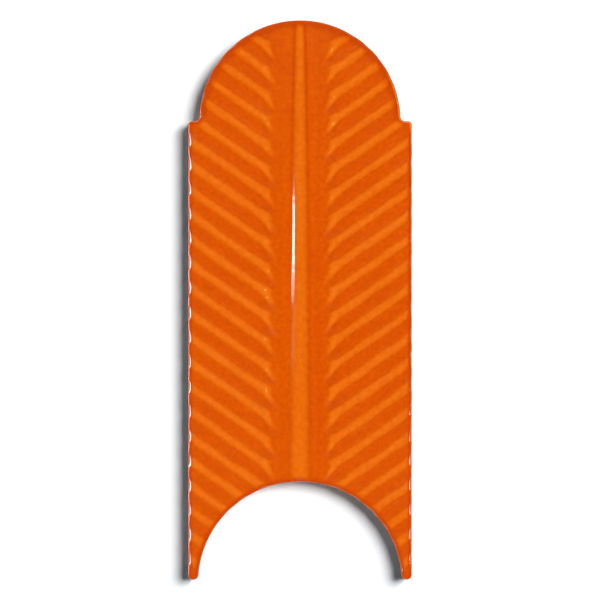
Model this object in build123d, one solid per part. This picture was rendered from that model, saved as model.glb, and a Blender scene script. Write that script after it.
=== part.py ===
from build123d import *

import os
from math import acos, cos, degrees, radians, sin, tan

# Feather-shaped ceramic wall tile, pressed and fired as one piece.
# One end is a round arch between two small shoulders, and the other a hollow of the same shape, so
# that tiles nest in columns. The face carries a tapering rib and slanting barbs in relief, and its
# edges roll over. The tile lies on its back: +Z is the glazed face's side, and +Y points to the arch.
# Millimetres, with the origin under the middle of the tile, on its flat back.

# Outline, seen from the face
tile_width = 100.0
tile_length = 250.0  # arch crown to horn tips
shoulder_width = 5.0  # step on each side of the arch
grout_joint = 0.5  # gap that the hollow leaves round the next tile's arch
horn_cut = 1.2  # off the horns' length, so that they stop short of the next tile's shoulders
shoulder_round = 1.9  # outer corner of a shoulder
neck_round = 2.2  # inner corner, where the arch meets a shoulder
horn_flat = 0.2  # straight bit between the two rounds of a horn's tip

# Body
body_thickness = 8.0  # back to the floor between the barbs
face_roll = 1.5  # rounding of the face's edge
back_chamfer = 0.6

# Rib, which grows wider towards the hollow
rib_height = 1.8  # above the floor
rib_width_at_arch = 4.4
rib_width_at_hollow = 8.8

# Barbs, half-sunk round rods that bend steeper and dive into the floor beside the rib
barb_height = 1.3  # above the floor
barb_width = 4.6  # at the floor
barb_pitch = 11.0  # along the rib
barb_angle = 35.0  # above the shoulder line, in degrees
first_barb_drop = 22.0  # from the arch's crown to where the first barb points on the rib
barb_bend_from_rib = 17.5  # where a barb starts to bend, from the rib's middle line
barb_bend_radius = 22.0
barb_dive_tilt = 42.0  # tilt of the bend's plane into the body, in degrees
barb_end_depth = 0.1  # of a barb's crest under the floor, where the barb ends

# Ends of the relief, which die away just inside the tile's edge
relief_inset = 0.3
relief_roll = 1.25

half_width = tile_width / 2
arch_radius = half_width - shoulder_width
shoulder_y = tile_length / 2 - arch_radius
hollow_radius = arch_radius + grout_joint
hollow_crown_y = arch_radius - horn_cut - tile_length / 2
hollow_y = hollow_crown_y - hollow_radius
horn_round = (shoulder_width - grout_joint - horn_flat) / 2

# Rounds are limited by the walls they run on
round_share = min(1.0, 0.95 * shoulder_width / (neck_round + shoulder_round))
tightest_round = min(horn_round, shoulder_round * round_share)
roll_share = 0.8


def shoulder_corners(outline):
    """The corners beside the arch, from left to right."""
    return ShapeList(v for v in outline.vertices() if v.Y > 0).sort_by(Axis.X)


def tile_outline(inset=0.0):
    """The tile's outline, drawn in all round by the inset."""
    side_length = shoulder_y + tile_length / 2 - 2 * inset
    side_middle = (shoulder_y - tile_length / 2) / 2
    outline = Pos(0, side_middle) * Rectangle(tile_width - 2 * inset, side_length)
    outline += Pos(0, shoulder_y) * Circle(arch_radius - inset)
    outline -= Pos(0, hollow_y) * Circle(hollow_radius + inset)
    outline = fillet(outline.vertices().group_by(Axis.Y)[0], horn_round - inset)
    necks = shoulder_corners(outline)[1:-1]
    outline = fillet(necks, neck_round * round_share + inset)
    corners = shoulder_corners(outline)
    return fillet([corners[0], corners[-1]], shoulder_round * round_share - inset)


def body():
    """The plain body, with its face rolled over and its back edge bevelled."""
    slab = extrude(tile_outline(), body_thickness)
    roll = min(face_roll, roll_share * tightest_round)
    slab = fillet(slab.faces().sort_by(Axis.Z)[-1].edges(), roll)
    return chamfer(slab.faces().sort_by(Axis.Z)[0].edges(), back_chamfer)


def relief_limit(height):
    """The space that relief of this height may fill, rounded off along the tile's edge."""
    root_z = body_thickness / 2
    block = extrude(Pos(0, 0, root_z) * tile_outline(relief_inset), body_thickness + height - root_z)
    roll = min(relief_roll, roll_share * (tightest_round - relief_inset))
    return fillet(block.faces().sort_by(Axis.Z)[-1].edges(), roll)


def rod_radius(width, height):
    """Radius of a half-sunk rod that shows this width and height above the floor."""
    return (width**2 / 4 + height**2) / (2 * height)


def rib_section(y, width):
    """The rib's cross-section at this place along it, an arc on a straight root."""
    foot = width / 2
    crest = ThreePointArc((-foot, 0), (0, rib_height), (foot, 0))
    root = Polyline((foot, 0), (foot, -body_thickness), (-foot, -body_thickness), (-foot, 0))
    return Plane((0, y, body_thickness), x_dir=(1, 0, 0), z_dir=(0, -1, 0)) * make_face(crest + root)


def rib():
    """The rib down the middle, tapered from the arch's crown to the hollow's and on past it."""
    start = rib_section(tile_length / 2, rib_width_at_arch)
    end = rib_section(hollow_crown_y, rib_width_at_hollow)
    rod = loft([start, end]) + extrude(end, rib_width_at_hollow)
    return rod & relief_limit(rib_height)


def barb():
    """One barb of the +X half, whose straight run points at the rib at the origin's Y."""
    radius = rod_radius(barb_width, barb_height)
    slope = radians(barb_angle)
    dive = radians(barb_dive_tilt)
    inward = Vector(-cos(slope), -sin(slope), 0)
    steeper = Vector(sin(slope), -cos(slope), 0)
    bend_side = steeper * cos(dive) + Vector(0, 0, -sin(dive))
    bend_start = Vector(
        barb_bend_from_rib, barb_bend_from_rib * tan(slope), body_thickness + barb_height - radius
    )
    bend_turn = acos(1 - (barb_height + barb_end_depth) / (barb_bend_radius * sin(dive)))
    run_length = (half_width - barb_bend_from_rib) / cos(slope) + barb_width
    run = Line((-run_length, 0), (0, 0))
    bend = JernArc((0, 0), (1, 0), barb_bend_radius, degrees(bend_turn))
    route = Plane(bend_start, x_dir=inward, z_dir=inward.cross(bend_side)) * (run + bend)
    start = Plane(bend_start - inward * run_length, z_dir=inward)
    return sweep(start * Circle(radius), path=route)


def barbs():
    """All the barbs of both halves, cut off along the tile's edge."""
    limit = relief_limit(barb_height)
    rod = barb()
    lowest = barb_pitch / 2 - tile_length / 2 - half_width * tan(radians(barb_angle))
    points_at = tile_length / 2 - first_barb_drop
    cut = []
    while points_at > lowest:
        right = (Pos(0, points_at, 0) * rod) & limit
        cut += [right, mirror(right, about=Plane.YZ)]
        points_at -= barb_pitch
    return cut


tile = body().fuse(rib(), *barbs())
os.makedirs("parts", exist_ok=True)
export_step(tile, "parts/feather_tile.step")
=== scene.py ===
from math import asin, ceil, cos, pi, radians, sin, sqrt, tan

import bmesh
import bpy
import numpy as np
from bpy.props import FloatProperty, FloatVectorProperty, IntProperty, PointerProperty
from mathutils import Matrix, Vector


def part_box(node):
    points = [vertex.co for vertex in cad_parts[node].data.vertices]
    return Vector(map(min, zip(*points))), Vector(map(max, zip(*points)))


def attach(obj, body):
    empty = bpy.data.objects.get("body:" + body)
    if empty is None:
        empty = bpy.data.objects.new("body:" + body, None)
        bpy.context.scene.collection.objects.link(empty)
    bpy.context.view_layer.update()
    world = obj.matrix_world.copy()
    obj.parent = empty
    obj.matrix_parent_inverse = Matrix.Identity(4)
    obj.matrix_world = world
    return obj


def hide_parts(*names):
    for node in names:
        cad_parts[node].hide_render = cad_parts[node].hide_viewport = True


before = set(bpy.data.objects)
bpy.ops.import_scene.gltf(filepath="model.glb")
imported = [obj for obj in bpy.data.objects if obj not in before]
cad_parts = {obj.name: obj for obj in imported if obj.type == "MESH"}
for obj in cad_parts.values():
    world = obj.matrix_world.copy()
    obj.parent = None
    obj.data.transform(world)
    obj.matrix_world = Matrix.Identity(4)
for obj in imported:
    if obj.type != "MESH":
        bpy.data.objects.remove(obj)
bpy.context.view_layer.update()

bl_info = {
    "name": "Feather tile",
    "version": (1, 0, 0),
    "blender": (4, 5, 0),
    "location": "3D View > Sidebar > Feather tile",
    "description": "Models a glazed feather-shaped wall tile and lays it on a white studio floor",
    "category": "Object",
}

MM = 0.001
tile_low, tile_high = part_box("feather_tile")


# Properties

def size(name, description, default):
    """A length that a user may change, in metres."""
    return FloatProperty(
        name=name, description=description, default=default, min=0, precision=5, unit="LENGTH"
    )


def turn(name, description, degrees):
    """An angle that a user may change."""
    return FloatProperty(name=name, description=description, default=radians(degrees), unit="ROTATION")


def amount(name, description, default, most=100.0):
    """A plain number that a user may change."""
    return FloatProperty(name=name, description=description, default=default, min=0, max=most)


def colour(name, description, default):
    """A colour that a user may change, in linear light."""
    return FloatVectorProperty(
        name=name, description=description, default=default, size=4, min=0, max=1, subtype="COLOR"
    )


class FeatherTileSizes(bpy.types.PropertyGroup):
    """Sizes of the tile."""

    tile_width: size("Width", "Across the straight sides", tile_high.x - tile_low.x)
    tile_length: size(
        "Length", "From the arch's crown to the horns' tips", 2 * min(tile_high.y, -tile_low.y)
    )
    tile_top: size("Thickness", "From the back to the rib's crest", tile_high.z - tile_low.z)
    shoulder_width: size("Shoulder", "Step on each side of the arch", 5 * MM)
    grout_joint: size("Grout joint", "By which the hollow's radius is over the arch's", 0.5 * MM)
    horn_cut: size("Horn cut", "Off the horns' length, for room at the shoulders", 1.2 * MM)
    shoulder_round: size("Shoulder round", "Outer corner of a shoulder", 1.9 * MM)
    neck_round: size("Neck round", "Inner corner, where the arch meets a shoulder", 2.2 * MM)
    horn_flat: size("Horn flat", "Straight bit between the rounds of a horn's tip", 0.2 * MM)
    face_roll: size("Face roll", "Rounding of the face's edge", 1.5 * MM)
    back_bevel: size("Back bevel", "Bevel round the back", 0.6 * MM)
    rib_height: size("Rib height", "Above the floor between the barbs", 1.8 * MM)
    rib_reach_at_arch: size("Rib reach at the arch", "From the rib's crest to its foot", 1.9 * MM)
    rib_reach_at_hollow: size("Rib reach at the hollow", "From the rib's crest to its foot", 5.4 * MM)
    barb_height: size("Barb height", "Above the floor between the barbs", 0.9 * MM)
    barb_reach: size("Barb reach", "From a barb's crest to its foot", 3.1 * MM)
    barb_pitch: size("Barb pitch", "Along the rib", 11 * MM)
    barb_angle: turn("Barb angle", "Above the line of the shoulders", 35)
    first_barb_drop: size("First barb", "From the crown to where it points on the rib", 22 * MM)
    barb_bend_from_rib: size("Barb bend", "Where a barb starts to bend, from the rib's middle", 18 * MM)
    barb_end_from_rib: size("Barb end", "Where a barb has faded out, from the rib's middle", 8.8 * MM)
    barb_hook: amount("Barb hook", "How fast a barb steepens towards its tip, per metre", 66)
    relief_start: size("Relief start", "Where the relief starts to rise, from the edge", 0.2 * MM)
    relief_full: size("Relief full", "Where the relief is at its full height, from the edge", 2.8 * MM)
    mesh_step: size("Mesh step", "Spacing of the points of the mesh", 0.58 * MM)
    hand_seed: IntProperty(name="Hand", description="Picks the barbs' small unevenness", default=7)


class FeatherTileGlaze(bpy.types.PropertyGroup):
    """Colours of the glaze and of the fired clay."""

    breaking: colour("Breaking glaze", "Where the glaze draws off a sharp edge", (0.92, 0.49, 0.10, 1))
    thinnest: colour("Thinnest glaze", "On the barbs' tips", (0.87, 0.174, 0.008, 1))
    # Thin glaze on the crests; down the rib's flanks the same colour is also painted light
    thin: colour("Thin glaze", "On the crests of the rib and the barbs", (0.83, 0.151, 0.004, 1))
    even: colour("Even glaze", "On the floor between the barbs", (0.725, 0.093, 0.0004, 1))
    # Pooled glaze at the rib's feet; along the edge and the arch the same colour is also painted shade
    pooled_and_shade: colour("Pooled glaze", "Along the edge and the feet of the rib", (0.60, 0.060, 0.0004, 1))
    clay: colour("Fired clay", "Bare clay of the back and the lower sides", (0.76, 0.66, 0.52, 1))
    toasted: colour("Toasted clay", "Darker clouds in the bare clay", (0.62, 0.49, 0.35, 1))
    speck: colour("Speck", "Pale pinholes in the glaze", (0.90, 0.72, 0.55, 1))
    iron: colour("Iron speck", "Dark specks in the bare clay", (0.30, 0.20, 0.13, 1))
    glaze_line: size("Glaze line", "Where the glaze ends on the sides, above the back", 3.2 * MM)


class FeatherTileStage(bpy.types.PropertyGroup):
    """Floor, lights and camera."""

    floor_colour: colour("Floor", "White studio floor", (0.98, 0.98, 0.98, 1))
    sky_colour: colour("Overhead", "Dim space over the tile", (0.004, 0.004, 0.004, 1))
    wall_colour: colour("Walls", "Dim walls round the studio", (0.22, 0.22, 0.22, 1))
    key_light: amount("Key light", "Light on a sheet that faces one of the tile's two lamps", 1.80)
    key_lean: turn("Key lean", "Of the tile's two lamps, from straight above", 22)
    key_spread: turn("Key spread", "How wide each of the tile's two lamps looks", 32)
    floor_light: amount("Floor light", "Light on a sheet that faces the floor's lamp", 4.5)
    floor_turn: turn("Floor lamp's turn", "From the tile's right, towards the arch", 29)
    floor_lean: turn("Floor lamp's lean", "From straight above", 41)
    floor_spread: turn("Floor lamp's spread", "How wide the lamp looks, for a soft shadow", 36)
    floor_fill: amount("Floor fill", "Light from straight above that softens the shadow", 0.2)
    fill_colour: colour(
        "Fill colour", "Cool, to keep the shadow grey beside the orange", (0.12, 0.70, 1.0, 1)
    )
    fill_spread: turn("Fill spread", "How wide the floor's fill looks", 60)
    lens: amount("Lens", "Focal length of the camera, in millimetres", 150, most=300)
    frame_share: amount("Frame share", "Of the picture's height that the tile takes", 0.933, most=1)


# Outline of the tile

FAR = 1.0  # metres, further off than any place on the tile
ARC_SLACK = 1e-9  # radians by which a place may lie past an arc's end


class Arc:
    """A round stroke of the outline. Where it isn't convex, the tile lies outside its circle."""

    least_steps = 8

    def __init__(self, centre, radius, start, end, convex=True):
        self.centre = np.array(centre)
        self.radius, self.start, self.end = radius, start, end
        self.outward = 1 if convex else -1
        self.length = radius * abs(end - start)

    def points(self, shares):
        """Points at these shares of the stroke, and which way is out at each."""
        turns = self.start + (self.end - self.start) * shares
        spokes = np.stack([np.cos(turns), np.sin(turns)], 1)
        return self.centre + self.radius * spokes, self.outward * spokes

    def distance(self, x, y):
        """How far places are from the stroke, or FAR where they aren't abreast of it."""
        dx, dy = x - self.centre[0], y - self.centre[1]
        middle = (self.start + self.end) / 2
        off = np.abs((np.arctan2(dy, dx) - middle + pi) % (2 * pi) - pi)
        gap = np.abs(np.hypot(dx, dy) - self.radius)
        return np.where(off <= abs(self.end - self.start) / 2 + ARC_SLACK, gap, FAR)


class Run:
    """A straight stroke of the outline, with the tile on its right."""

    least_steps = 1

    def __init__(self, start, end):
        self.start, self.end = np.array(start), np.array(end)
        along = self.end - self.start
        self.length = np.hypot(*along)
        self.along = along / self.length
        self.normal = np.array([-self.along[1], self.along[0]])

    def points(self, shares):
        """Points at these shares of the stroke, and which way is out at each."""
        places = self.start + np.outer(shares, self.end - self.start)
        return places, np.broadcast_to(self.normal, places.shape)

    def distance(self, x, y):
        """How far places are from the stroke."""
        dx, dy = x - self.start[0], y - self.start[1]
        walked = np.clip(dx * self.along[0] + dy * self.along[1], 0, self.length)
        return np.hypot(dx - walked * self.along[0], dy - walked * self.along[1])


def half_outline(sizes):
    """The strokes of the tile's right half, from the arch's crown to the hollow's."""
    half = sizes.tile_width / 2
    end = sizes.tile_length / 2
    arch = half - sizes.shoulder_width
    hollow = arch + sizes.grout_joint
    shoulder_y = end - arch
    hollow_y = arch - sizes.horn_cut - end - hollow
    corner, neck = sizes.shoulder_round, sizes.neck_round
    horn = (sizes.shoulder_width - sizes.grout_joint - sizes.horn_flat) / 2
    neck_x = sqrt((arch + neck) ** 2 - neck**2)
    neck_turn = asin(neck / (arch + neck))
    tip_turn = asin((horn - end - hollow_y) / (hollow + horn))
    tip_x = (hollow + horn) * cos(tip_turn)
    return [
        Arc((0, shoulder_y), arch, pi / 2, neck_turn),
        Arc((neck_x, shoulder_y + neck), neck, pi + neck_turn, 1.5 * pi, convex=False),
        Run((neck_x, shoulder_y), (half - corner, shoulder_y)),
        Arc((half - corner, shoulder_y - corner), corner, pi / 2, 0),
        Run((half, shoulder_y - corner), (half, horn - end)),
        Arc((half - horn, horn - end), horn, 0, -pi / 2),
        Run((half - horn, -end), (tip_x, -end)),
        Arc((tip_x, horn - end), horn, -pi / 2, tip_turn - pi),
        Arc((0, hollow_y), hollow, tip_turn, pi / 2, convex=False),
    ]


def edge_distance(sizes, x, y):
    """How far places on the face are from the tile's edge."""
    return np.min([stroke.distance(np.abs(x), y) for stroke in half_outline(sizes)], axis=0)


def within_outline(sizes, x, y):
    """Whether places lie inside the tile, apart from its small rounds."""
    half, end = sizes.tile_width / 2, sizes.tile_length / 2
    arch = half - sizes.shoulder_width
    hollow = arch + sizes.grout_joint
    in_arch = np.hypot(x, y - end + arch) < arch
    in_hollow = np.hypot(x, y + end + sizes.horn_cut - arch + hollow) < hollow
    return (np.abs(x) < half) & (np.abs(y) < end) & (in_arch | (y < end - arch)) & ~in_hollow


def edge_loop(sizes):
    """Points all round the outline, clockwise from the crown, and which way is out at each."""
    places, normals = [], []
    for stroke in half_outline(sizes):
        steps = max(stroke.least_steps, ceil(stroke.length / sizes.mesh_step))
        point, normal = stroke.points(np.arange(steps) / steps)
        places.append(point)
        normals.append(normal)
    point, normal = stroke.points(np.ones(1))
    right = np.concatenate(places + [point])
    right_out = np.concatenate(normals + [normal])
    mirrored = np.array([-1, 1])
    left = right[-2:0:-1] * mirrored
    left_out = right_out[-2:0:-1] * mirrored
    return np.concatenate([right, left]), np.concatenate([right_out, left_out])


# Relief of the face

# Barbs: unevenness by hand, then the narrowing towards the tip
HAND_LIMIT = 2  # on each random draw, either way
BARB_SHIFT = 0.12 * MM  # of a barb's place
BARB_LIFT = 0.05  # of a barb's height
BARB_SWELL = 0.05  # of a barb's reach
BARB_RAGGED = 0.06  # of a barb's reach, along its feet
BARB_FULLNESS = 0.8
TAPER_START, TAPER_FULL = 1.7 * MM, 5.7 * MM  # from a barb's end
TAPER_LEFT = 0.42  # of a barb's reach, where the taper starts
TIP_LENGTH = 7 * MM  # over which a barb rises from its end

# Lobe that widens a barb's tip on the arch's side
LOBE_START, LOBE_CROWN, LOBE_END = 10.5 * MM, 13.6 * MM, 17 * MM  # from the rib's middle
LOBE_ABOVE = 2.3 * MM  # over the line of the barb's straight run
LOBE_REACH = 0.5  # of a barb's reach
LOBE_HEIGHT = 0.42  # of a barb's height

# Rib
RIB_GROWTH = 0.6  # power of the rib's share, so that it widens faster near the arch
RIB_STEEPNESS = 0.415  # most that the rib's height may be of its reach
RIB_FULLNESS, RIB_PALE_AND_LIT_FULLNESS = 0.56, 0.57  # of the rib's section, and of its pale glaze: thin glaze on the crest, and painted light down the flanks that offsets their shading
FOOT_OFFSET, FOOT_SPREAD = 1.02, 0.2  # of the pooled glaze, in shares of the rib's reach
FOOT_LENGTH = 0.6  # of the rib, from the arch, along which glaze pools

# Face's edge, which is fuller where a barb ends
BLUNT_START, BLUNT_FULL = 0.05, 0.45  # shares of a barb's height between which its end fills out
FLOOR_ROLL = 0.55  # of the face's roll, between the barbs' ends

# Depth of the glaze, from 0, where it breaks, to 1, where it pools; it also carries painted shade along
# the edge and painted light on the rib's flanks
THINNEST_DEPTH, THIN_DEPTH, EVEN_DEPTH = 0.08, 0.26, 0.62
SIDE_DEPTH = 0.7  # on the tile's sides
THIN_START, THIN_FULL = 0.05, 0.80  # shares of a ridge's height between which the glaze thins
TIP_THINNING = 0.10  # on the barbs' tips, more than on their crests
FOOT_POOL = 0.30  # along the rib's feet
VALLEY_POOL = 0.07  # between the barbs
TIP_VALLEY_POOL = 0.08  # between the barbs' tips
EDGE_POOL_AND_SHADE = 0.36  # all round: pooled glaze, and painted shade that darkens the edge as if its roll were wider
ARCH_POOL_AND_SHADE = 0.30  # wider, along the arch: pooled glaze and painted shade
END_LINE_POOL = 0.05  # where the barbs end
NECK_BREAK = 1.1  # drawn off the edge at the arch's right neck


def ease(low, high, value):
    """A soft step from 0 at low to 1 at high."""
    share = np.clip((value - low) / (high - low), 0, 1)
    return share * share * (3 - 2 * share)


def ridge(offset, fullness):
    """Height of a rounded ridge, 1 on its crest and 0 at its foot, where the offset is 1."""
    return (0.5 + 0.5 * np.cos(pi * np.clip(np.abs(offset), 0, 1))) ** fullness


def near(value, middle, spread):
    """A soft bump of 1 at the middle value."""
    return np.exp(-(((value - middle) / spread) ** 2))


def wave(along, height, length, start=0):
    """A ripple along a line, which turns by a radian in each length."""
    return height * np.sin(along / length + start)


def barb_relief(sizes, x, y):
    """Share of the barbs' full height, and how far each place is into the part that has barbs."""
    across = np.abs(x)
    slope = tan(sizes.barb_angle)
    bend = np.maximum(sizes.barb_bend_from_rib - across, 0)
    hook = sizes.barb_hook * bend**2
    first = sizes.tile_length / 2 - sizes.first_barb_drop
    lowest = sizes.barb_pitch / 2 - sizes.tile_length / 2 - sizes.tile_width / 2 * slope
    count = ceil((first - lowest) / sizes.barb_pitch)
    row = (first + across * slope - hook - y) / sizes.barb_pitch
    number = np.clip(np.rint(row), 0, count - 1).astype(int)

    # Four draws for each barb of the left half and of the right
    draws = np.random.default_rng(sizes.hand_seed).normal(size=(4, 2, count))
    hand = draws.clip(-HAND_LIMIT, HAND_LIMIT)
    shift, lift, swell, phase = hand[:, (x > 0).astype(int), number]
    # Each ripple takes its own multiple of the phase, so that they don't run in step
    wander = wave(across, height=0.10 * MM, length=6 * MM, start=3 * phase)
    wander += wave(across, height=0.06 * MM, length=2.2 * MM, start=7 * phase)
    above = (number - row) * sizes.barb_pitch - BARB_SHIFT * shift - wander
    ragged = wave(across, height=BARB_RAGGED, length=3.1 * MM, start=np.where(above > 0, 5, 9) * phase)

    end = sizes.barb_end_from_rib
    taper = ease(end + TAPER_START, end + TAPER_FULL, across)
    narrowed = TAPER_LEFT + (1 - TAPER_LEFT) * taper
    reach = sizes.barb_reach * (1 + BARB_SWELL * swell + ragged) * narrowed
    offset = above / np.sqrt(1 + (slope + 2 * sizes.barb_hook * bend) ** 2) / reach
    tip = ease(end, end + TIP_LENGTH, across)
    crest = ridge(offset, BARB_FULLNESS) * tip * (1 + BARB_LIFT * lift)

    lobe_offset = (above - hook - LOBE_ABOVE) * cos(sizes.barb_angle) / (LOBE_REACH * sizes.barb_reach)
    lobe_fade = ease(LOBE_START, LOBE_CROWN, across) - ease(LOBE_CROWN, LOBE_END, across)
    lobe = LOBE_HEIGHT * ridge(lobe_offset, fullness=1) * np.maximum(lobe_fade, 0)
    return crest + lobe - crest * lobe, tip


def rib_relief(sizes, x, y):
    """Share of the rib's full height, how pale its glaze is (thin glaze on the crest, painted light on
    the flanks), and how far it pools at its feet.
    """
    spine = sizes.tile_length + sizes.horn_cut - (sizes.tile_width / 2 - sizes.shoulder_width)
    share = np.clip((sizes.tile_length / 2 - y) / spine, 0, 1)
    growth = sizes.rib_reach_at_hollow - sizes.rib_reach_at_arch
    reach = sizes.rib_reach_at_arch + growth * share**RIB_GROWTH
    wander = wave(y, height=0.08 * MM, length=25 * MM, start=1)
    wander += wave(y, height=0.012 * MM, length=5 * MM)
    offset = (x - wander) / reach
    crest = np.minimum(1, RIB_STEEPNESS * reach / sizes.rib_height)
    pool = near(np.abs(offset), FOOT_OFFSET, FOOT_SPREAD) * np.maximum(1 - share / FOOT_LENGTH, 0)
    return crest * ridge(offset, RIB_FULLNESS), ridge(offset, RIB_PALE_AND_LIT_FULLNESS), pool


def pressed_face(sizes, x, y):
    """Height of the face above the back, and depth of the glaze on it, from 0 to 1, with painted shade
    along the edge and painted light on the rib's flanks.
    """
    across = np.abs(x)
    edge = edge_distance(sizes, x, y)
    full = ease(sizes.relief_start, sizes.relief_full, edge)
    barb, barbed = barb_relief(sizes, x, y)
    rib, rib_pale_and_lit, rib_pool = rib_relief(sizes, x, y)

    floor = sizes.tile_top - sizes.rib_height
    blunt = ease(BLUNT_START, BLUNT_FULL, barb)
    radius = sizes.face_roll * (FLOOR_ROLL + (1 - FLOOR_ROLL) * blunt)
    rolled = np.clip(radius - edge, 0, radius)
    roll = radius - np.sqrt(radius**2 - rolled**2)
    barb_end = blunt + (barb - blunt) * full
    height = floor - roll + full * (sizes.rib_height * rib + sizes.barb_height * barb_end)

    # Thin glaze on the crests; on the rib's flanks it is also painted light that offsets their shading
    thin = full * ease(THIN_START, THIN_FULL, np.maximum(barb, rib_pale_and_lit))
    tips = near(across, middle=sizes.barb_end_from_rib + 6 * MM, spread=2 * MM)
    valleys = (VALLEY_POOL * barbed + TIP_VALLEY_POOL * tips) * (1 - thin)
    depth = EVEN_DEPTH - (EVEN_DEPTH - THIN_DEPTH + TIP_THINNING * tips) * thin
    depth += full * (FOOT_POOL * rib_pool + valleys)
    # Darker band along the edge and the arch: partly pooled glaze, partly painted shade standing in for
    # a wider rolled edge
    depth += EDGE_POOL_AND_SHADE * near(edge, middle=0.9 * MM, spread=0.85 * MM)
    depth += END_LINE_POOL * near(across, middle=8.6 * MM, spread=1 * MM)
    on_arch = ease(76 * MM, 86 * MM, y)
    depth += ARCH_POOL_AND_SHADE * near(edge, middle=2.2 * MM, spread=1.4 * MM) * on_arch
    at_neck = ease(36 * MM, 42 * MM, x) * ease(72 * MM, 78 * MM, y)
    depth -= NECK_BREAK * near(edge, middle=0.75 * MM, spread=0.3 * MM) * at_neck
    return height, np.clip(depth, 0, 1)


# Modelling

SHEET_GAP = 0.6  # mesh steps at least between the sheet and its rim
RIM_SPARE = 0.1 * MM  # between the rim and the face's roll
ROLL_TILTS = range(10, 100, 10)  # degrees, for the rings across the face's roll
WALL_RINGS = 6  # from the face's roll to the back's bevel
FACE_SLACK = 0.01 * MM  # by which a point of the face may lie under the floor
SMOOTH_ANGLE = radians(32)
BACK_NORMAL = -0.5  # upward part of a normal, under which a face belongs to the back


def choose(tile, wanted):
    """Selects just these vertices in edit mode."""
    bpy.ops.mesh.select_all(action="DESELECT")
    shape = bmesh.from_edit_mesh(tile.data)
    for vertex, pick in zip(shape.verts, wanted):
        if pick:
            vertex.select_set(True)
    shape.select_flush(True)
    bmesh.update_edit_mesh(tile.data)


def choose_open_edges(with_loose):
    """Selects the edges along openings in edit mode, and the loose edges too if asked."""
    bpy.ops.mesh.select_non_manifold(
        extend=False, use_wire=with_loose, use_boundary=True, use_multi_face=False,
        use_non_contiguous=False, use_verts=False,
    )


def mesh_points(tile):
    """The mesh's points, in object mode."""
    points = np.empty(3 * len(tile.data.vertices))
    tile.data.vertices.foreach_get("co", points)
    return points.reshape(-1, 3)


def pinched(tile):
    """Marks the vertices where two patches of the sheet touch at one point."""
    shape = bmesh.from_edit_mesh(tile.data)
    return [sum(edge.is_boundary for edge in vertex.link_edges) > 2 for vertex in shape.verts]


def cut_sheet(sizes, rim):
    """A fine sheet at the height of the floor, trimmed to the outline less the rim."""
    bpy.ops.object.select_all(action="DESELECT")
    bpy.ops.mesh.primitive_grid_add(
        x_subdivisions=ceil(sizes.tile_width / sizes.mesh_step),
        y_subdivisions=ceil(sizes.tile_length / sizes.mesh_step),
        size=1,
        location=(0, 0, sizes.tile_top - sizes.rib_height),
    )
    tile = bpy.context.object
    tile.name = tile.data.name = "glazed_feather_tile"
    tile.scale = (sizes.tile_width, sizes.tile_length, 1)
    bpy.ops.object.transform_apply(location=True, rotation=False, scale=True)
    x, y = mesh_points(tile)[:, :2].T
    too_near = edge_distance(sizes, x, y) < rim + SHEET_GAP * sizes.mesh_step
    spare = ~within_outline(sizes, x, y) | too_near
    bpy.ops.object.mode_set(mode="EDIT")
    while any(spare):
        choose(tile, spare)
        bpy.ops.mesh.delete(type="VERT")
        bpy.ops.mesh.select_all(action="SELECT")
        bpy.ops.mesh.delete_loose(use_verts=True, use_edges=True, use_faces=False)
        spare = pinched(tile)
    return tile


def lay_ring(tile, loop, out, inset, height):
    """Moves the selected ring of vertices along the outline, drawn in by the inset."""
    shape = bmesh.from_edit_mesh(tile.data)
    station = shape.verts.layers.int["station"]
    for vertex in shape.verts:
        if vertex.select:
            x, y = loop[vertex[station]] - out[vertex[station]] * inset
            vertex.co = (x, y, height)
    bmesh.update_edit_mesh(tile.data)


def press_blank(sizes):
    """The tile as a closed body with a smooth face: a trimmed sheet, rolled edges, sides and back."""
    rim = sizes.face_roll + RIM_SPARE
    floor = sizes.tile_top - sizes.rib_height
    tile = cut_sheet(sizes, rim)
    loop, out = edge_loop(sizes)
    bpy.ops.mesh.primitive_circle_add(
        vertices=len(loop), radius=sizes.tile_length, location=(0, 0, floor)
    )
    shape = bmesh.from_edit_mesh(tile.data)
    station = shape.verts.layers.int.new("station")
    ring = [vertex for vertex in shape.verts if vertex.select]
    for number, vertex in enumerate(ring):
        vertex[station] = number
    lay_ring(tile, loop, out, rim, floor)
    bpy.ops.mesh.select_mode(type="EDGE")
    choose_open_edges(with_loose=True)
    bpy.ops.mesh.fill(use_beauty=True)
    choose_open_edges(with_loose=False)
    rings = [(sizes.face_roll * (1 - sin(radians(tilt))), floor) for tilt in ROLL_TILTS]
    wall = np.linspace(floor - sizes.face_roll, sizes.back_bevel, WALL_RINGS)
    rings += [(0, height) for height in wall[1:]] + [(sizes.back_bevel, 0)]
    for inset, height in rings:
        bpy.ops.mesh.extrude_edges_indiv()
        lay_ring(tile, loop, out, inset, height)
    bpy.ops.mesh.fill(use_beauty=True)
    bpy.ops.mesh.select_mode(type="VERT")
    bpy.ops.mesh.select_all(action="SELECT")
    bpy.ops.mesh.normals_make_consistent(inside=False)
    bpy.ops.object.mode_set(mode="OBJECT")
    tile.data.attributes.remove(tile.data.attributes["station"])
    return tile


def press_relief(tile, sizes):
    """Raises the rib and the barbs on the blank's face and notes the glaze's depth, with its painted
    shade and light, on its points.
    """
    points = mesh_points(tile)
    depth = np.full(len(points), SIDE_DEPTH)
    face = points[:, 2] > sizes.tile_top - sizes.rib_height - FACE_SLACK
    points[face, 2], depth[face] = pressed_face(sizes, points[face, 0], points[face, 1])
    tile.data.vertices.foreach_set("co", points.ravel())
    attribute = tile.data.attributes.new("glaze_depth_and_shading", "FLOAT", "POINT")
    attribute.data.foreach_set("value", depth)
    tile.data.update()
    bpy.ops.object.shade_smooth_by_angle(angle=SMOOTH_ANGLE)


# Materials

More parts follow.
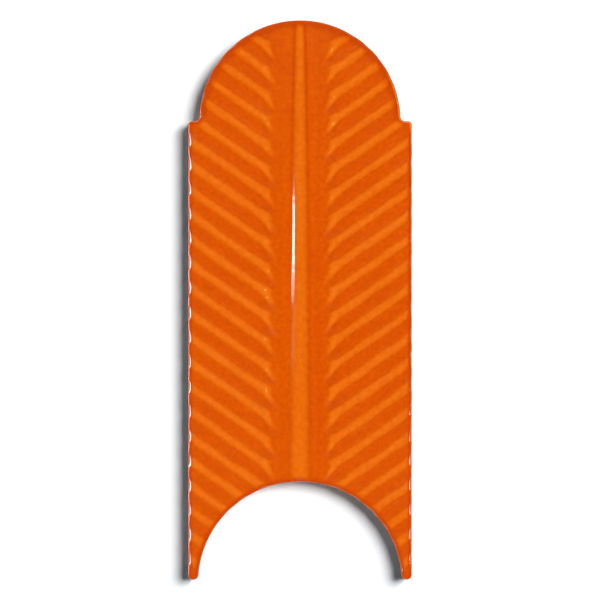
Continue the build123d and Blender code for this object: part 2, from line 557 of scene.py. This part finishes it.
NOISE_LOW, NOISE_HIGH = 0.3, 0.7  # between which nearly all of a noise lies
LINE_BLUR = 0.15 * MM  # half the width of the glaze line's soft edge
BEAD_START, BEAD_END = 0.2 * MM, 1.2 * MM  # of the bead of glaze over its line
BEAD_POOL = 0.3  # depth added in the bead
CLAY_ROUGHNESS = 0.85
GLAZE_IOR = 1.52


def place(tree, kind, inputs=None, **settings):
    """Adds a node with its settings, and sets each input to a value or links it from an output."""
    node = tree.nodes.new(kind)
    for name, value in settings.items():
        setattr(node, name, value)
    for name, value in (inputs or {}).items():
        if isinstance(value, bpy.types.NodeSocket):
            tree.links.new(value, node.inputs[name])
        else:
            node.inputs[name].default_value = value
    return node


def span(tree, value, low, high, to_low, to_high, kind="LINEAR"):
    """A value mapped from one span to another and kept inside it."""
    inputs = {"Value": value, "From Min": low, "From Max": high, "To Min": to_low, "To Max": to_high}
    return place(tree, "ShaderNodeMapRange", inputs, interpolation_type=kind).outputs[0]


def noise(tree, vector, scale, detail=2.0, roughness=0.5):
    """Cloudy noise, about 0.5 on average."""
    inputs = {"Vector": vector, "Scale": scale, "Detail": detail, "Roughness": roughness}
    return place(tree, "ShaderNodeTexNoise", inputs).outputs[0]


def drift(tree, vector, scale, low, high, detail=2.0, roughness=0.5):
    """Cloudy noise that drifts between two values."""
    cloudy = noise(tree, vector, scale, detail, roughness)
    return span(tree, cloudy, NOISE_LOW, NOISE_HIGH, low, high)


def maths(tree, operation, first, second, **settings):
    """One sum on two values."""
    inputs = {0: first, 1: second}
    return place(tree, "ShaderNodeMath", inputs, operation=operation, **settings).outputs[0]


def blend(tree, share, first, second):
    """A mix of two colours."""
    # By number, because the node's sockets for colours share their names with others
    inputs = {0: share, 6: first, 7: second}
    return place(tree, "ShaderNodeMix", inputs, data_type="RGBA").outputs[2]


def bump(tree, height, strength, distance, under=None):
    """A normal that carries fine relief, on the surface itself or over another normal."""
    inputs = {"Height": height, "Strength": strength, "Distance": distance}
    if under is not None:
        inputs["Normal"] = under
    return place(tree, "ShaderNodeBump", inputs).outputs[0]


def new_group(name, inputs, outputs):
    """An empty shader node group with these sockets, and its input and output nodes."""
    group = bpy.data.node_groups.new(name, "ShaderNodeTree")
    for label, kind in inputs.items():
        group.interface.new_socket(label, in_out="INPUT", socket_type="NodeSocket" + kind)
    for label, kind in outputs.items():
        group.interface.new_socket(label, in_out="OUTPUT", socket_type="NodeSocket" + kind)
    return group, group.nodes.new("NodeGroupInput").outputs, group.nodes.new("NodeGroupOutput").inputs


def use_group(tree, group, inputs):
    """Places a shared node group in a material with its own values."""
    return place(tree, "ShaderNodeGroup", inputs, node_tree=group).outputs


def fired_clay_group():
    """Bare fired clay: toasted clouds, sandy grain and the height of that grain."""
    group, given, result = new_group(
        "fired_clay",
        {"Vector": "Vector", "Clay": "Color", "Toasted": "Color"},
        {"Color": "Color", "Height": "Float"},
    )
    cloudy = noise(group, given["Vector"], scale=38, detail=4, roughness=0.6)
    clouds = span(group, cloudy, low=0.38, high=0.72, to_low=0, to_high=0.55)
    grain = noise(group, given["Vector"], scale=1500, detail=3, roughness=0.65)
    sand = span(group, grain, low=0.42, high=0.75, to_low=0, to_high=0.35)
    share = maths(group, "ADD", clouds, sand, use_clamp=True)
    group.links.new(blend(group, share, given["Clay"], given["Toasted"]), result["Color"])
    group.links.new(grain, result["Height"])
    return group


def kiln_specks_group():
    """Scattered round specks: a mask of 1 inside each speck."""
    group, given, result = new_group(
        "kiln_specks",
        {"Vector": "Vector", "Scale": "Float", "Share": "Float", "Radius": "Float"},
        {"Mask": "Float"},
    )
    cells = place(group, "ShaderNodeTexVoronoi", {"Vector": given["Vector"], "Scale": given["Scale"]})
    pick = place(group, "ShaderNodeSeparateColor", {0: cells.outputs["Color"]}).outputs[0]
    chosen = maths(group, "LESS_THAN", pick, given["Share"])
    spot = maths(group, "LESS_THAN", cells.outputs["Distance"], given["Radius"])
    group.links.new(maths(group, "MULTIPLY", chosen, spot), result["Mask"])
    return group


def new_material(name):
    """A material with its node tree to add to, and its shader."""
    material = bpy.data.materials.new(name)
    material.use_nodes = True
    tree = material.node_tree
    return material, tree, tree.nodes["Principled BSDF"]


def glaze_colour(tree, depth, finish):
    """The glaze's colour by its depth, which also carries painted shade and light."""
    ramp = place(tree, "ShaderNodeValToRGB", {"Fac": depth})
    stops = ramp.color_ramp.elements
    stops[0].position, stops[0].color = 0.0, finish.breaking
    stops[1].position, stops[1].color = 1.0, finish.pooled_and_shade
    stops.new(THINNEST_DEPTH).color = finish.thinnest
    stops.new(THIN_DEPTH).color = finish.thin
    stops.new(EVEN_DEPTH).color = finish.even
    return ramp.outputs["Color"]


def orange_glaze(finish, clay, specks):
    """Glossy orange glaze that runs thin on crests and edges, over bare clay low on the sides."""
    material, tree, shader = new_material("orange_glaze")
    where = place(tree, "ShaderNodeTexCoord").outputs["Object"]
    depth = place(tree, "ShaderNodeAttribute", attribute_name="glaze_depth_and_shading").outputs["Fac"]
    clouds = drift(tree, where, scale=60, low=-0.06, high=0.06, detail=4, roughness=0.6)
    flecks = drift(tree, where, scale=480, low=-0.13, high=0.13, detail=3, roughness=0.65)
    depth = maths(tree, "ADD", maths(tree, "ADD", depth, clouds), flecks)

    height = place(tree, "ShaderNodeSeparateXYZ", {0: where}).outputs["Z"]
    drips = drift(tree, where, scale=70, low=-0.9 * MM, high=0.9 * MM)
    above = maths(tree, "ADD", height, drips)
    line = finish.glaze_line
    glazed = span(tree, above, line - LINE_BLUR, line + LINE_BLUR, 0, 1, "SMOOTHSTEP")
    bead = span(tree, above, line + BEAD_START, line + BEAD_END, BEAD_POOL, 0, "SMOOTHSTEP")
    depth = maths(tree, "ADD", depth, bead)

    pinholes = use_group(
        tree, specks, {"Vector": where, "Scale": 90, "Share": 0.012, "Radius": 0.035}
    )
    glaze = blend(tree, pinholes["Mask"], glaze_colour(tree, depth, finish), finish.speck)
    bare = use_group(tree, clay, {"Vector": where, "Clay": finish.clay, "Toasted": finish.toasted})
    tree.links.new(blend(tree, glazed, bare["Color"], glaze), shader.inputs["Base Color"])

    gloss = drift(tree, where, scale=120, low=0.05, high=0.085)
    matt = maths(tree, "SUBTRACT", CLAY_ROUGHNESS, maths(tree, "MULTIPLY", glazed, CLAY_ROUGHNESS))
    tree.links.new(maths(tree, "MAXIMUM", gloss, matt), shader.inputs["Roughness"])
    shader.inputs["IOR"].default_value = GLAZE_IOR

    ripple = bump(tree, noise(tree, where, scale=170), strength=0.5, distance=0.06 * MM)
    rough = maths(tree, "MULTIPLY", bare["Height"], maths(tree, "SUBTRACT", 1.0, glazed))
    grain = bump(tree, rough, strength=0.5, distance=0.15 * MM, under=ripple)
    tree.links.new(grain, shader.inputs["Normal"])
    return material


def fired_biscuit(finish, clay, specks):
    """Bare fired clay of the back: matt, sandy and lightly toasted, with a few iron specks."""
    material, tree, shader = new_material("fired_biscuit")
    where = place(tree, "ShaderNodeTexCoord").outputs["Object"]
    bare = use_group(tree, clay, {"Vector": where, "Clay": finish.clay, "Toasted": finish.toasted})
    iron = use_group(tree, specks, {"Vector": where, "Scale": 160, "Share": 0.05, "Radius": 0.05})
    tree.links.new(blend(tree, iron["Mask"], bare["Color"], finish.iron), shader.inputs["Base Color"])
    worn = drift(tree, where, scale=60, low=0.78, high=0.92, detail=3, roughness=0.6)
    tree.links.new(worn, shader.inputs["Roughness"])
    grain = bump(tree, bare["Height"], strength=0.6, distance=0.15 * MM)
    tree.links.new(grain, shader.inputs["Normal"])
    return material


def glaze_tile(tile, finish):
    """Gives the face and the sides their glaze, and leaves the back as bare clay."""
    clay, specks = fired_clay_group(), kiln_specks_group()
    tile.data.materials.append(orange_glaze(finish, clay, specks))
    tile.data.materials.append(fired_biscuit(finish, clay, specks))
    for face in tile.data.polygons:
        face.material_index = 1 if face.normal.z < BACK_NORMAL else 0


# Stage

WHITE = (1, 1, 1, 1)
FLOOR_SIZE = 6  # metres
FLOOR_DROP = 0.02 * MM  # under the tile's back
WALL_TOP, SKY_START = 0.12, 0.34  # upward parts of a direction between which the walls fade out
SUN_DISTANCE = 2  # metres
SENSOR = 36  # millimetres

# Lamps that show as the streak on the rib
RIB_GLINT_DISTANCE = 1.0  # metres
RIB_GLINTS = (  # name, lean in degrees, place along the rib, width and length, brightness
    ("rib_glint", 60, 64 * MM, (0.054, 0.10), 34),
    ("rib_glint_middle", 57.5, 26 * MM, (0.022, 0.10), 8),
    ("rib_glint_tail", 54, -18 * MM, (0.052, 0.09), 0.8),
)

# Lamps that show as dashes on the straight sides
EDGE_GLINT_DISTANCE = 0.8  # metres
EDGE_GLINT_LEAN = radians(74)
EDGE_GLINTS = (  # name, turn from the tile's right, place, width and length, brightness
    ("left_edge_glint", pi, (-50 * MM, 0, 0), (0.45, 0.14), 45),
    ("right_edge_glint", 0, (50 * MM, -147 * MM, 0), (0.116, 0.14), 18),
)


def lay_floor(stage):
    """A wide white floor under the tile."""
    bpy.ops.object.select_all(action="DESELECT")
    bpy.ops.mesh.primitive_plane_add(size=FLOOR_SIZE, location=(0, 0, -FLOOR_DROP))
    floor = bpy.context.object
    floor.name = "studio_floor"
    bpy.ops.object.transform_apply(location=True)
    material, _, shader = new_material("white_floor")
    shader.inputs["Base Color"].default_value = stage.floor_colour
    shader.inputs["Roughness"].default_value = 1.0
    shader.inputs["Specular IOR Level"].default_value = 0.0
    floor.data.materials.append(material)
    return floor


def hang_walls(stage):
    """A studio that is dim overhead and paler round about, and white behind the floor."""
    world = bpy.data.worlds.new("studio")
    world.use_nodes = True
    tree = world.node_tree
    where = place(tree, "ShaderNodeTexCoord").outputs["Generated"]
    up = place(tree, "ShaderNodeSeparateXYZ", {0: where}).outputs["Z"]
    overhead = span(tree, up, WALL_TOP, SKY_START, 0, 1, "SMOOTHSTEP")
    light = blend(tree, overhead, stage.wall_colour, stage.sky_colour)
    seen = place(tree, "ShaderNodeLightPath").outputs["Is Camera Ray"]
    backdrop = blend(tree, seen, light, WHITE)
    tree.links.new(backdrop, tree.nodes["Background"].inputs["Color"])
    bpy.context.scene.world = world


def from_above(heading, lean):
    """The direction that heads this far round from the tile's right, and leans from straight up."""
    return Vector((sin(lean) * cos(heading), sin(lean) * sin(heading), cos(lean)))


def add_lamp(name, kind, direction, distance, target=(0, 0, 0)):
    """A lamp in this direction from a place on the tile, facing it."""
    bpy.ops.object.light_add(type=kind, location=Vector(target) + distance * direction)
    lamp = bpy.context.object
    lamp.name = lamp.data.name = name
    lamp.rotation_euler = direction.to_track_quat("Z", "Y").to_euler()
    lamp.visible_camera = False
    return lamp


def add_sun(name, direction, light, spread, receiver, tint=(1, 1, 1)):
    """A broad lamp for one receiver, which lights it and isn't mirrored in the glaze."""
    lamp = add_lamp(name, "SUN", direction, SUN_DISTANCE)
    lamp.data.energy = light
    lamp.data.angle = spread
    lamp.data.color = tint
    lamp.visible_glossy = False
    group = bpy.data.collections.new(name)
    group.objects.link(receiver)
    lamp.light_linking.receiver_collection = group


def add_glint(name, direction, distance, target, sides, brightness):
    """A small lamp beside the tile, which shows only as a glint in the glaze."""
    lamp = add_lamp(name, "AREA", direction, distance, target)
    lamp.data.shape = "RECTANGLE"
    lamp.data.size, lamp.data.size_y = sides
    lamp.data.energy = brightness * pi * sides[0] * sides[1]
    lamp.visible_diffuse = False


def light_studio(stage, tile, floor):
    """Two soft lamps for the tile, one for its shadow on the floor, and small ones for the glints."""
    for name, heading in ("arch_side_key", pi / 2), ("hollow_side_key", -pi / 2):
        add_sun(name, from_above(heading, stage.key_lean), stage.key_light, stage.key_spread, tile)
    shadow_lamp = from_above(stage.floor_turn, stage.floor_lean)
    add_sun("floor_lamp", shadow_lamp, stage.floor_light, stage.floor_spread, floor)
    overhead, tint = from_above(0, 0), stage.fill_colour[:3]
    add_sun("floor_fill", overhead, stage.floor_fill, stage.fill_spread, floor, tint)
    for name, lean, along, sides, brightness in RIB_GLINTS:
        direction = from_above(pi, radians(lean))
        add_glint(name, direction, RIB_GLINT_DISTANCE, (0, along, 0), sides, brightness)
    for name, heading, target, sides, brightness in EDGE_GLINTS:
        direction = from_above(heading, EDGE_GLINT_LEAN)
        add_glint(name, direction, EDGE_GLINT_DISTANCE, target, sides, brightness)


def set_camera(sizes, stage):
    """A camera straight above the tile, with the arch at the top of the picture."""
    floor = sizes.tile_top - sizes.rib_height
    height = sizes.tile_length / stage.frame_share * stage.lens / SENSOR
    bpy.ops.object.camera_add(location=(0, 0, floor + height), rotation=(0, 0, 0))
    camera = bpy.context.object
    camera.name = "camera_above"
    camera.data.lens = stage.lens
    camera.data.sensor_width = SENSOR
    bpy.context.scene.camera = camera


# Operators and panel

class PressFeatherTile(bpy.types.Operator):
    """Models the tile with its relief and glazes it."""

    bl_idname = "feather_tile.press"
    bl_label = "Press and glaze the tile"

    def execute(self, context):
        sizes = context.scene.feather_tile_sizes
        tile = press_blank(sizes)
        press_relief(tile, sizes)
        glaze_tile(tile, context.scene.feather_tile_glaze)
        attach(tile, "root")
        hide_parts("feather_tile")
        return {"FINISHED"}


class SetFeatherTileStage(bpy.types.Operator):
    """Lays the floor, hangs the lamps and sets the camera."""

    bl_idname = "feather_tile.set_stage"
    bl_label = "Set the stage"

    def execute(self, context):
        stage = context.scene.feather_tile_stage
        floor = lay_floor(stage)
        hang_walls(stage)
        light_studio(stage, bpy.data.objects["glazed_feather_tile"], floor)
        set_camera(context.scene.feather_tile_sizes, stage)
        context.scene.view_settings.view_transform = "Standard"
        return {"FINISHED"}


class FeatherTilePanel(bpy.types.Panel):
    """Lists the steps and the values that they use."""

    bl_idname = "VIEW3D_PT_feather_tile"
    bl_label = "Feather tile"
    bl_space_type = "VIEW_3D"
    bl_region_type = "UI"
    bl_category = "Feather tile"

    def draw(self, context):
        scene = context.scene
        for group, operator in (
            (scene.feather_tile_sizes, None),
            (scene.feather_tile_glaze, PressFeatherTile),
            (scene.feather_tile_stage, SetFeatherTileStage),
        ):
            column = self.layout.column()
            for name in type(group).__annotations__:
                column.prop(group, name)
            if operator:
                column.operator(operator.bl_idname)


classes = (
    FeatherTileSizes,
    FeatherTileGlaze,
    FeatherTileStage,
    PressFeatherTile,
    SetFeatherTileStage,
    FeatherTilePanel,
)


def register():
    for kind in classes:
        bpy.utils.register_class(kind)
    bpy.types.Scene.feather_tile_sizes = PointerProperty(type=FeatherTileSizes)
    bpy.types.Scene.feather_tile_glaze = PointerProperty(type=FeatherTileGlaze)
    bpy.types.Scene.feather_tile_stage = PointerProperty(type=FeatherTileStage)


def unregister():
    del bpy.types.Scene.feather_tile_stage
    del bpy.types.Scene.feather_tile_glaze
    del bpy.types.Scene.feather_tile_sizes
    for kind in reversed(classes):
        bpy.utils.unregister_class(kind)


def main():
    """Makes the tile and its stage."""
    register()
    bpy.ops.feather_tile.press()
    bpy.ops.feather_tile.set_stage()


if __name__ == "__main__":
    main()
